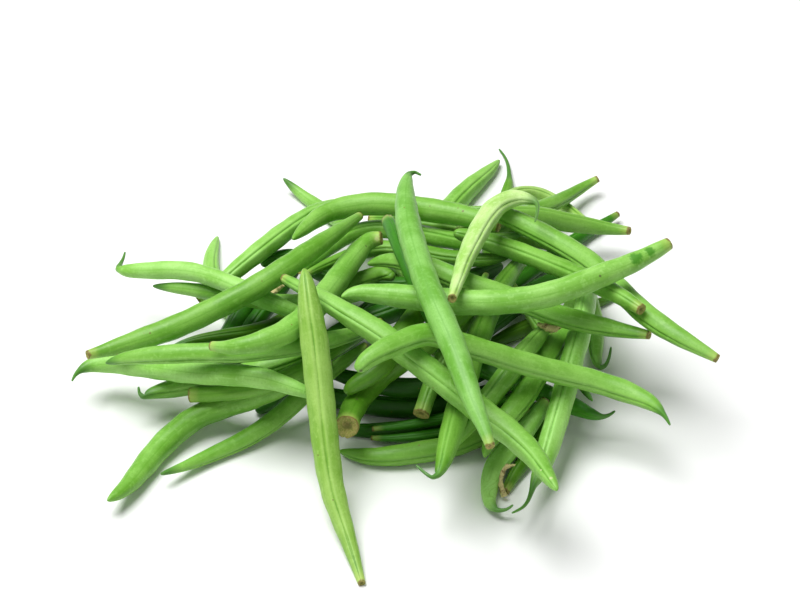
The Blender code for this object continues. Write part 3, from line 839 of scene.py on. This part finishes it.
def side_relief(places, along, angle, girths, phase):
    """How far each point of a pod's side moves outwards for seams, seeds and lumps."""
    shape = bpy.context.scene.bean_shape
    from_seam = np.abs(angle) * girths
    from_back = (math.pi - np.abs(angle)) * girths
    size = np.clip(girths / USUAL_GIRTH, 0.0, MOST_RELIEF)
    moved = shape.rounding_gain * girths
    moved = moved - shape.seam_depth * size * bell(from_seam, SEAM_WIDTH)
    moved = moved + shape.lip_height * size * bell(from_seam - LIP_PLACE, LIP_WIDTH)
    moved = moved - shape.back_seam_depth * size * bell(from_back, BACK_SEAM_WIDTH)
    swell = np.cos(2.0 * math.pi * along / shape.seed_pitch + phase) * np.sin(angle) ** 2
    moved = moved + shape.seed_height * size**2 * swell
    lumps = np.array([noise.noise(Vector(place) / LUMP_SIZE) for place in places])
    return moved + shape.lump_height * size * lumps


def hollow_ends(measures, places, along, part, girths):
    """The places with each cut end hollowed, and how far out on its cut face each point is."""
    most = bpy.context.scene.bean_shape.hollow_depth
    cap_share = np.ones(len(places))
    for end, level, order in zip(measures["ends"], measures["levels"][[0, -1]], (1, -1)):
        if not end["cut"]:
            continue
        on_cap = (along - level) * order < 0.0
        cap_share = np.where(on_cap, part, cap_share)
        hollow = np.clip(1.0 - (part / HOLLOW_RADIUS) ** 2, 0.0, 1.0) * on_cap
        depth = most * np.clip(girths / FULL_HOLLOW_GIRTH, LEAST_HOLLOW, 1.0)
        places = places - end["outward"] * (hollow * depth)[:, None]
    return places, cap_share


def shape_pod(made, measures, phase):
    """Works the seams, seeds, lumps and cut hollows into the rounded pod."""
    mesh = made.data
    places = vertex_places(mesh)
    along = np.empty(len(places))
    mesh.attributes["along"].data.foreach_get("value", along)
    middles, tangents, seams, girths = course_at(measures, along)
    offset = places - middles
    offset = offset - tangents * np.sum(offset * tangents, axis=1)[:, None]
    spread = np.linalg.norm(offset, axis=1)
    outward = unit(offset)
    quarter = np.cross(tangents, seams)
    angle = np.arctan2(np.sum(outward * quarter, axis=1), np.sum(outward * seams, axis=1))
    moved = side_relief(places, along, angle, girths, phase)
    moved = moved * np.clip(spread / np.maximum(FULL_RELIEF_FROM * girths, THINNEST), 0.0, 1.0)
    places = places + outward * moved[:, None]
    part = np.clip(spread / np.maximum(girths, THINNEST), 0.0, 1.0)
    places, cap_share = hollow_ends(measures, places, along, part, girths)
    places[:, 2] = np.maximum(places[:, 2], 0.0)
    mesh.vertices.foreach_set("co", places.ravel())
    grain = np.column_stack([along, girths * np.cos(angle), girths * np.sin(angle)])
    keep_values(mesh, "grain", grain)
    keep_values(mesh, "from_cut", distance_to_cut(measures, along))
    keep_values(mesh, "tail", tail_share(measures, along))
    keep_values(mesh, "cap_share", cap_share)
    mesh.attributes.remove(mesh.attributes["along"])
    mesh.update()


# Building materials


def new_material(name):
    """An empty node material, its tree and its shader."""
    material = bpy.data.materials.new(name)
    material.use_nodes = True
    tree = material.node_tree
    return material, tree, tree.nodes["Principled BSDF"]


def add(tree, kind, inputs=(), **settings):
    """A node with its settings and inputs; an input that is a socket is linked."""
    made = tree.nodes.new(kind)
    for key, value in settings.items():
        setattr(made, key, value)
    for key, value in dict(inputs).items():
        if isinstance(value, bpy.types.NodeSocket):
            tree.links.new(value, made.inputs[key])
        else:
            made.inputs[key].default_value = value
    return made


def stored(tree, name, output="Fac"):
    """A value kept on the mesh."""
    return add(tree, "ShaderNodeAttribute", attribute_name=name).outputs[output]


def maths(tree, operation, a, b=0.0):
    """The result of one sum."""
    return add(tree, "ShaderNodeMath", {0: a, 1: b}, operation=operation).outputs[0]


def plus(tree, a, b):
    """Two values added up."""
    return maths(tree, "ADD", a, b)


def times(tree, a, b):
    """Two values multiplied."""
    return maths(tree, "MULTIPLY", a, b)


def swing(tree, pattern, reach):
    """A pattern from 0 to 1 turned into a value that swings about zero over this reach."""
    return times(tree, maths(tree, "SUBTRACT", pattern, 0.5), reach)


def ramp(tree, value, low, high, from_value=0.0, to_value=1.0):
    """A smooth change between two values as the input goes from low to high."""
    inputs = {"Value": value, "From Min": low, "From Max": high, "To Min": from_value, "To Max": to_value}
    return add(tree, "ShaderNodeMapRange", inputs, interpolation_type="SMOOTHSTEP").outputs["Result"]


def cloud(tree, vector, scale, detail, roughness=0.5):
    """A noise pattern from 0 to 1."""
    inputs = {"Vector": vector, "Scale": scale, "Detail": detail, "Roughness": roughness}
    return add(tree, "ShaderNodeTexNoise", inputs).outputs["Fac"]


def tint(tree, share, under, over):
    """One colour laid over another by a share."""
    made = tree.nodes.new("ShaderNodeMix")
    made.data_type = "RGBA"
    for key, value in ((MIX_SHARE, share), (MIX_UNDER, under), (MIX_OVER, over)):
        if isinstance(value, bpy.types.NodeSocket):
            tree.links.new(value, made.inputs[key])
        elif key == MIX_SHARE:
            made.inputs[key].default_value = value
        else:
            made.inputs[key].default_value = (*value, 1.0)
    return made.outputs[MIX_RESULT]


def stretched(tree, vector, scale):
    """A vector stretched or squeezed along its axes."""
    return add(tree, "ShaderNodeMapping", {"Vector": vector, "Scale": scale}).outputs["Vector"]


def raise_relief(tree, shader, height):
    """Fine relief in a shader, from a height in metres."""
    bump = add(tree, "ShaderNodeBump", {"Strength": 1.0, "Distance": 1.0, "Height": height})
    tree.links.new(bump.outputs["Normal"], shader.inputs["Normal"])


def shaded(colour, amount):
    """A lighter, paler colour for a positive amount, a darker and fuller one for a negative amount."""
    red, green, blue = (part * (1.0 + LIGHT_GAIN * amount) for part in colour)
    return red * (1.0 + RED_GAIN * amount), green, max(blue * (1.0 + BLUE_GAIN * amount), 0.0)


def scaled(colour, factors, most=1.0):
    """A colour with each of its parts multiplied, none above the most."""
    return tuple(min(most, part * factor) for part, factor in zip(colour, factors))


def skin_patterns(tree):
    """The places on a pod and the noise that its skin is painted from."""
    place = add(tree, "ShaderNodeTexCoord").outputs["Object"]
    grain = stored(tree, "grain", "Vector")
    _, to_seam, across = add(tree, "ShaderNodeSeparateXYZ", {"Vector": grain}).outputs
    angle = maths(tree, "ABSOLUTE", maths(tree, "ARCTAN2", across, to_seam))
    squares = [times(tree, part, part) for part in (to_seam, across)]
    girth = maths(tree, "SQRT", plus(tree, *squares))
    patches = cloud(tree, place, *PATCH_NOISE)
    off_seam = plus(tree, times(tree, angle, girth), swing(tree, patches, SEAM_WANDER))
    return {
        "place": place,
        "grain": grain,
        "from_seam": maths(tree, "ABSOLUTE", off_seam),
        "from_back": times(tree, maths(tree, "SUBTRACT", math.pi, angle), girth),
        "patches": patches,
        "fine": cloud(tree, place, *FINE_NOISE),
        "dots": cloud(tree, place, *DOT_NOISE),
        "streaks": cloud(tree, stretched(tree, grain, STREAK_STRETCH), *STREAK_NOISE),
    }


def mottled(tree, found, green, shades):
    """Green broken up by patches, dots, fine grain and streaks."""
    colour = tint(tree, ramp(tree, found["patches"], *PATCH_RAMP), shades["dark"], shades["light"])
    colour = tint(tree, EVENNESS, colour, green)
    for pattern, shade, *spread in MOTTLING:
        colour = tint(tree, ramp(tree, found[pattern], *spread), colour, shades[shade])
    return colour


def seamed(tree, found, colour, shades, line):
    """The lighter lips beside a seam, its broken dark line and the faint one opposite."""
    seam_green = tuple(bpy.context.scene.bean_skin.seam_green)
    near, far = (ramp(tree, found["from_seam"], *edge) for edge in (LIP_INNER_EDGE, LIP_OUTER_EDGE))
    colour = tint(tree, times(tree, times(tree, near, far), LIP_SHARE), colour, shades["light"])
    gaps = cloud(tree, stretched(tree, found["grain"], GAP_STRETCH), *GAP_NOISE)
    colour = tint(tree, times(tree, line, ramp(tree, gaps, *GAP_RAMP)), colour, seam_green)
    return tint(tree, ramp(tree, found["from_back"], *BACK_LINE_RAMP), colour, shades["dark"])


def flecked(tree, place, colour, shades):
    """Small brown freckles and a few pale scuffs."""
    dried_rim = tuple(bpy.context.scene.bean_skin.dried_rim)
    cells = {"Vector": place, "Scale": FRECKLE_SCALE, "Randomness": 1.0}
    freckle = add(tree, "ShaderNodeTexVoronoi", cells).outputs
    chosen = add(tree, "ShaderNodeSeparateXYZ", {"Vector": freckle["Color"]}).outputs[0]
    spot = ramp(tree, freckle["Distance"], *FRECKLE_EDGE)
    spot = times(tree, spot, ramp(tree, chosen, *FRECKLE_CHOICE))
    colour = tint(tree, times(tree, spot, FRECKLE_SHARE), colour, dried_rim)
    scratch = cloud(tree, stretched(tree, place, SCRATCH_STRETCH), *SCRATCH_NOISE)
    rare = ramp(tree, cloud(tree, place, *RARE_NOISE), *RARE_RAMP)
    scuff = times(tree, ramp(tree, scratch, *SCRATCH_RAMP), rare)
    return tint(tree, times(tree, scuff, SCUFF_SHARE), colour, shades["light"])


def marked(tree, place, colour, marks):
    """The single bruises, specks, scars and pale spots of one pod."""
    for point, radius, kind in marks:
        warp = swing(tree, cloud(tree, place, *MARK_NOISE), MARK_WARP * radius)
        apart = add(tree, "ShaderNodeVectorMath", {0: place, 1: point}, operation="DISTANCE").outputs
        reach = plus(tree, apart["Value"], warp)
        share = ramp(tree, reach, radius, MARK_CORE * radius, 0.0, MARK_SHARE)
        colour = tint(tree, share, colour, MARK_COLOURS[kind])
    return colour


def ended(tree, dots, colour):
    """A darker tail, and yellowing with a ragged brown rim at a cut end."""
    skin = bpy.context.scene.bean_skin
    from_cut = stored(tree, "from_cut")
    colour = tint(tree, ramp(tree, stored(tree, "tail"), *TAIL_RAMP), colour, tuple(skin.tail_green))
    colour = tint(tree, ramp(tree, from_cut, *YELLOWING_RAMP), colour, tuple(skin.yellowing))
    ragged = plus(tree, from_cut, swing(tree, dots, RIM_RAGGEDNESS))
    return tint(tree, ramp(tree, ragged, *RIM_RAMP), colour, tuple(skin.dried_rim))


def pod_skin(name, green, marks):
    """Mottled green skin with dark seam lines, yellowing at a cut end and dark on a tail."""
    material, tree, shader = new_material(name)
    found = skin_patterns(tree)
    place = found["place"]
    shades = {"light": scaled(green, LIGHTER, MOST_LIGHT), "dark": scaled(green, DARKER)}
    line = ramp(tree, found["from_seam"], *SEAM_LINE_EDGE)
    colour = mottled(tree, found, green, shades)
    colour = seamed(tree, found, colour, shades, line)
    colour = flecked(tree, place, colour, shades)
    colour = marked(tree, place, colour, marks)
    tree.links.new(ended(tree, found["dots"], colour), shader.inputs["Base Color"])
    uneven = [ramp(tree, found[pattern], *spread) for pattern, spread in GLOSS_RAMPS.items()]
    roughness = plus(tree, plus(tree, *uneven), bpy.context.scene.bean_skin.roughness)
    tree.links.new(roughness, shader.inputs["Roughness"])
    height = swing(tree, found["fine"], FINE_RELIEF)
    height = plus(tree, height, times(tree, found["streaks"], STREAK_RELIEF))
    raise_relief(tree, shader, plus(tree, height, times(tree, line, -SEAM_LINE_RELIEF)))
    shader.inputs["Specular IOR Level"].default_value = SKIN_SPECULAR
    return material


def cut_face(name):
    """Dry tan flesh with fibres, a brown rim and a darker hollow."""
    skin = bpy.context.scene.bean_skin
    material, tree, shader = new_material(name)
    place = add(tree, "ShaderNodeTexCoord").outputs["Object"]
    coarse = cloud(tree, place, *FLESH_NOISE)
    fibres = cloud(tree, place, *FLESH_FIBRE_NOISE)
    flesh, rim = tuple(skin.cut_flesh), tuple(skin.dried_rim)
    pale = tuple(min(1.0, part * PALE_FIBRE_GAIN + PALE_FIBRE_LIFT) for part in flesh)
    colour = tint(tree, ramp(tree, coarse, *FLESH_RAMP), scaled(flesh, GREENER), flesh)
    colour = tint(tree, ramp(tree, fibres, *PALE_FIBRE_RAMP), colour, pale)
    colour = tint(tree, ramp(tree, fibres, *DARK_FIBRE_RAMP), colour, rim)
    wavy = plus(tree, stored(tree, "cap_share"), swing(tree, coarse, FLESH_WAVE))
    colour = tint(tree, ramp(tree, wavy, *FLESH_RIM_RAMP), colour, rim)
    colour = tint(tree, ramp(tree, wavy, *FLESH_HOLLOW_RAMP), colour, scaled(rim, HOLLOW_SHADE))
    tree.links.new(colour, shader.inputs["Base Color"])
    shader.inputs["Roughness"].default_value = FLESH_ROUGHNESS
    raise_relief(tree, shader, times(tree, fibres, FLESH_RELIEF))
    return material


def dried_husk(name):
    """Dry, fibrous tan stem tissue with dark folds."""
    dried = bpy.context.scene.bean_dried
    material, tree, shader = new_material(name)
    place = add(tree, "ShaderNodeTexCoord").outputs["Object"]
    folds = cloud(tree, place, *HUSK_FOLD_NOISE)
    fibres = cloud(tree, stretched(tree, place, HUSK_FIBRE_STRETCH), *HUSK_FIBRE_NOISE)
    husk = tuple(dried.husk)
    colour = tint(tree, ramp(tree, folds, *HUSK_FOLD_RAMP), tuple(dried.husk_shade), husk)
    colour = tint(tree, ramp(tree, fibres, *HUSK_FIBRE_RAMP), colour, scaled(husk, HUSK_LIGHTER))
    tree.links.new(colour, shader.inputs["Base Color"])
    shader.inputs["Roughness"].default_value = HUSK_ROUGHNESS
    raise_relief(tree, shader, times(tree, fibres, HUSK_RELIEF))
    return material


# Dressing the pods


def sight_direction(x, y):
    """The direction from the eye through a picture point."""
    forward = (AIM - EYE).normalized()
    right = Vector((1.0, 0.0, 0.0))
    up = right.cross(forward)
    aside = right * (x - AIM_POINT[0]) * POINT_SIZE
    above = up * (y - AIM_POINT[1]) * POINT_SIZE
    return (forward * (AIM - EYE).length + aside - above).normalized()


def seen_point(made, x, y):
    """The point of a piece that is seen at a picture point, or None beside it."""
    hit, point, _, _ = made.ray_cast(EYE, sight_direction(x, y))
    return point if hit else None


def marks_on(made, name):
    """The marks that lie on this pod, each with its point on the skin."""
    found = []
    for x, y, radius, kind in MARKS.get(name, ()):
        point = seen_point(made, x, y)
        if point is not None:
            found.append((point, radius * MM, kind))
    return found


def dress_pod(name, tone, amount):
    """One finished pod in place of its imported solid."""
    skin = bpy.context.scene.bean_skin
    made = copy_of_solid(name)
    measures = measure_pod(made.data)
    round_off(made, measures)
    shape_pod(made, measures, len(name) * SEED_PHASE)
    green = shaded(getattr(skin, tone + "_green"), amount)
    made.data.materials.append(pod_skin(name + "_skin", green, marks_on(made, name)))
    made.data.materials.append(cut_face(name + "_cut"))
    pick(made)
    bpy.ops.object.shade_smooth_by_angle(angle=POD_SMOOTH_ANGLE)
    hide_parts(name)
    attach(made, "root")


def dress_pods(group):
    """Every pod of one part of the heap."""
    for name, tone, amount in group:
        dress_pod(name, tone, amount)


# Dried pieces


def dried_piece(name, owner, anchor, chain, lift):
    """One crinkled piece of dried stem, standing out a little from the pod it clings to."""
    dried = bpy.context.scene.bean_dried
    forward = (AIM - EYE).normalized()
    base = seen_point(bpy.data.objects[owner + "_pod"], *anchor)
    if base is None:
        raise RuntimeError(name + " misses its pod")
    depth = (base - EYE).dot(forward) - lift * MM
    deselect_all()
    bpy.ops.curve.primitive_nurbs_path_add(location=(0.0, 0.0, 0.0))
    piece = bpy.context.view_layer.objects.active
    piece.name = name
    course = piece.data.splines[0]
    course.order_u = CHAIN_ORDER
    for knot, (x, y, radius) in zip(course.points, chain):
        line = sight_direction(x, y)
        knot.co = (*(EYE + line * (depth / line.dot(forward))), 1.0)
        knot.radius = radius
    piece.data.resolution_u = CHAIN_RESOLUTION
    piece.data.bevel_depth = MM
    piece.data.bevel_resolution = CHAIN_BEVEL
    piece.data.use_fill_caps = True
    bpy.ops.object.convert(target="MESH")
    noise.seed_set(CRINKLE_SEED)
    for point in piece.data.vertices:
        point.co += noise.noise_vector(point.co / CRINKLE_SIZE) * dried.crinkle
    piece.data.materials.clear()
    piece.data.materials.append(dried_husk(name + "_husk"))
    bpy.ops.object.shade_smooth_by_angle(angle=HUSK_SMOOTH_ANGLE)
    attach(piece, "root")


# Operators


class BEANS_OT_back_pods(Operator):
    """Dress the pods at the back of the heap."""

    bl_idname = "beans.back_pods"
    bl_label = "Back pods"

    def execute(self, context):
        dress_pods(BACK_PODS)
        return {"FINISHED"}


class BEANS_OT_left_pods(Operator):
    """Dress the pods that reach out to the left."""

    bl_idname = "beans.left_pods"
    bl_label = "Left pods"

    def execute(self, context):
        dress_pods(LEFT_PODS)
        return {"FINISHED"}


class BEANS_OT_right_pods(Operator):
    """Dress the pods at the right of the heap."""

    bl_idname = "beans.right_pods"
    bl_label = "Right pods"

    def execute(self, context):
        dress_pods(RIGHT_PODS)
        return {"FINISHED"}


class BEANS_OT_core_pods(Operator):
    """Dress the pods in the core and the middle of the heap, most of them painted darker as painted
    shade.
    """

    bl_idname = "beans.core_pods"
    bl_label = "Core pods"

    def execute(self, context):
        dress_pods(CORE_PODS_IN_PAINTED_SHADE)
        return {"FINISHED"}


class BEANS_OT_top_pods(Operator):
    """Dress the pods that lie on top of the heap."""

    bl_idname = "beans.top_pods"
    bl_label = "Top pods"

    def execute(self, context):
        dress_pods(TOP_PODS)
        return {"FINISHED"}


class BEANS_OT_dried_pieces(Operator):
    """Add the dried stem pieces that cling to three of the pods."""

    bl_idname = "beans.dried_pieces"
    bl_label = "Dried pieces"

    def execute(self, context):
        for name, (owner, anchor, chain, lift) in DRIED_PIECES.items():
            dried_piece(name, owner, anchor, chain, lift)
        return {"FINISHED"}


class BEANS_OT_stage(Operator):
    """Set the floor, the lights and the camera."""

    bl_idname = "beans.stage"
    bl_label = "Stage"

    def execute(self, context):
        lay_floor()
        hang_lights()
        place_camera()
        return {"FINISHED"}


# Stage


def floor_paint(colour):
    """Plain pale matt floor with the faintest unevenness."""
    material, tree, shader = new_material("floor_paint")
    place = add(tree, "ShaderNodeTexCoord").outputs["Object"]
    uneven = cloud(tree, place, *FLOOR_NOISE)
    lower = tuple(part * FLOOR_LOWER for part in colour)
    tree.links.new(tint(tree, uneven, lower, tuple(colour)), shader.inputs["Base Color"])
    shader.inputs["Roughness"].default_value = FLOOR_ROUGHNESS
    shader.inputs["Specular IOR Level"].default_value = FLOOR_SPECULAR
    return material


def lay_floor():
    """A wide plain floor under the heap."""
    deselect_all()
    bpy.ops.mesh.primitive_grid_add(
        x_subdivisions=FLOOR_CELLS, y_subdivisions=FLOOR_CELLS, size=FLOOR_SIZE, location=(0.0, 0.0, 0.0)
    )
    floor = bpy.context.view_layer.objects.active
    floor.name = "floor"
    floor.data.materials.append(floor_paint(bpy.context.scene.bean_stage.floor_colour))


def soft_light(name, power, size, place, target):
    """One large square light that faces a point."""
    lamp = bpy.data.lights.new(name, "AREA")
    lamp.energy = power
    lamp.size = size
    holder = bpy.data.objects.new(name, lamp)
    holder.location = place
    holder.rotation_euler = (Vector(target) - Vector(place)).to_track_quat("-Z", "Y").to_euler()
    bpy.context.scene.collection.objects.link(holder)


def hang_lights():
    """A soft key light overhead, a weak fill at the front and an even room."""
    stage = bpy.context.scene.bean_stage
    soft_light("key_light", stage.key_power, *KEY_LIGHT)
    soft_light("fill_light", stage.fill_power, *FILL_LIGHT)
    room = bpy.data.worlds.new("room")
    room.use_nodes = True
    backdrop = room.node_tree.nodes["Background"]
    backdrop.inputs["Color"].default_value = (1.0, 1.0, 1.0, 1.0)
    backdrop.inputs["Strength"].default_value = stage.room_light
    bpy.context.scene.world = room
    bpy.context.scene.view_settings.view_transform = "Standard"


def place_camera():
    """The camera at the eye, aimed at the heap."""
    camera = bpy.data.cameras.new("camera")
    camera.lens = bpy.context.scene.bean_stage.lens
    camera.sensor_width = SENSOR_WIDTH
    camera.clip_start = NEAREST_SEEN
    holder = bpy.data.objects.new("camera", camera)
    holder.location = EYE
    holder.rotation_euler = (AIM - EYE).to_track_quat("-Z", "Y").to_euler()
    bpy.context.scene.collection.objects.link(holder)
    bpy.context.scene.camera = holder


# Panel and registering


class BEANS_PT_heap(Panel):
    """The heap's pieces and their settings."""

    bl_idname = "BEANS_PT_heap"
    bl_label = "Green bean heap"
    bl_space_type = "VIEW_3D"
    bl_region_type = "UI"
    bl_category = "Beans"

    def draw(self, context):
        for operator in OPERATORS:
            self.layout.operator(operator.bl_idname)
        for holder, kind in SETTINGS.items():
            box = self.layout.box()
            for key in kind.__annotations__:
                box.prop(getattr(context.scene, holder), key)


SETTINGS = {
    "bean_skin": BeanSkinSettings,
    "bean_shape": BeanShapeSettings,
    "bean_dried": BeanDriedSettings,
    "bean_stage": BeanStageSettings,
}
OPERATORS = (
    BEANS_OT_back_pods,
    BEANS_OT_left_pods,
    BEANS_OT_right_pods,
    BEANS_OT_core_pods,
    BEANS_OT_top_pods,
    BEANS_OT_dried_pieces,
    BEANS_OT_stage,
)


def register():
    """Registers the settings, operators and panel."""
    for holder, kind in SETTINGS.items():
        bpy.utils.register_class(kind)
        setattr(bpy.types.Scene, holder, PointerProperty(type=kind))
    for kind in OPERATORS + (BEANS_PT_heap,):
        bpy.utils.register_class(kind)


def unregister():
    """Removes them again."""
    for kind in (BEANS_PT_heap,) + OPERATORS[::-1]:
        bpy.utils.unregister_class(kind)
    for holder, kind in SETTINGS.items():
        delattr(bpy.types.Scene, holder)
        bpy.utils.unregister_class(kind)


def main():
    """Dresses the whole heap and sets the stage."""
    register()
    bpy.ops.beans.back_pods()
    bpy.ops.beans.left_pods()
    bpy.ops.beans.right_pods()
    bpy.ops.beans.core_pods()
    bpy.ops.beans.top_pods()
    bpy.ops.beans.dried_pieces()
    bpy.ops.beans.stage()


if __name__ == "__main__":
    main()
